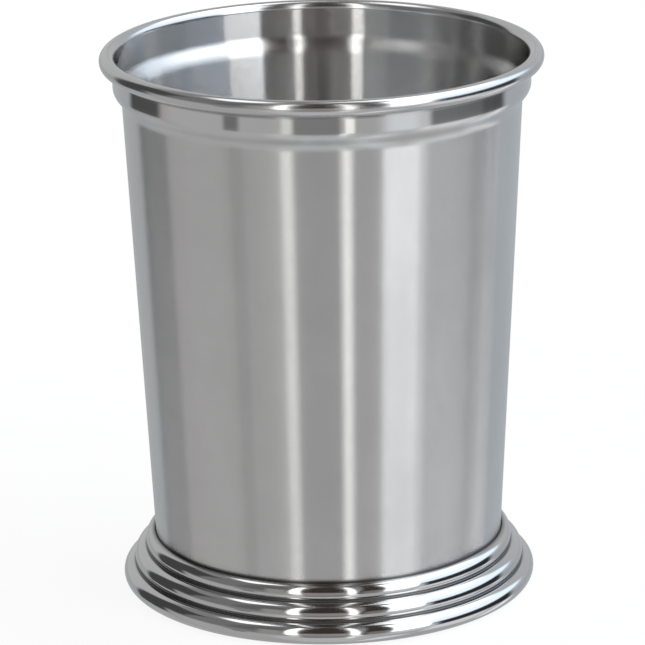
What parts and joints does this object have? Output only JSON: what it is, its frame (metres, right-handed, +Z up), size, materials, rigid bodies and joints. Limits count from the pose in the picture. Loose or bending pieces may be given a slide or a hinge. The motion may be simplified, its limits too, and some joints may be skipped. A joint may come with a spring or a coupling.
{
  "type": "julep cup",
  "caption": "Tapered stainless drinking cup with a rolled rim over a stepped collar, standing on a ribbed foot ring.",
  "frame": {"origin": "centre of the circle that the foot stands on, on the table", "axes": "+Z up along the cup's axis of revolution, X and Y level and free to turn"},
  "size_m": [0.086, 0.086, 0.108],
  "materials": {
    "satin_steel": "fine satin brushed round the wall, with the floor, inside, neck, collar and rim polished",
    "polished_steel": "mirror polished",
    "braze": "dull, as it ran"
  },
  "bodies": {
    "root": {"cup_body": "satin_steel", "foot_ring": "polished_steel", "braze_seam": "braze"}
  },
  "joints": []
}
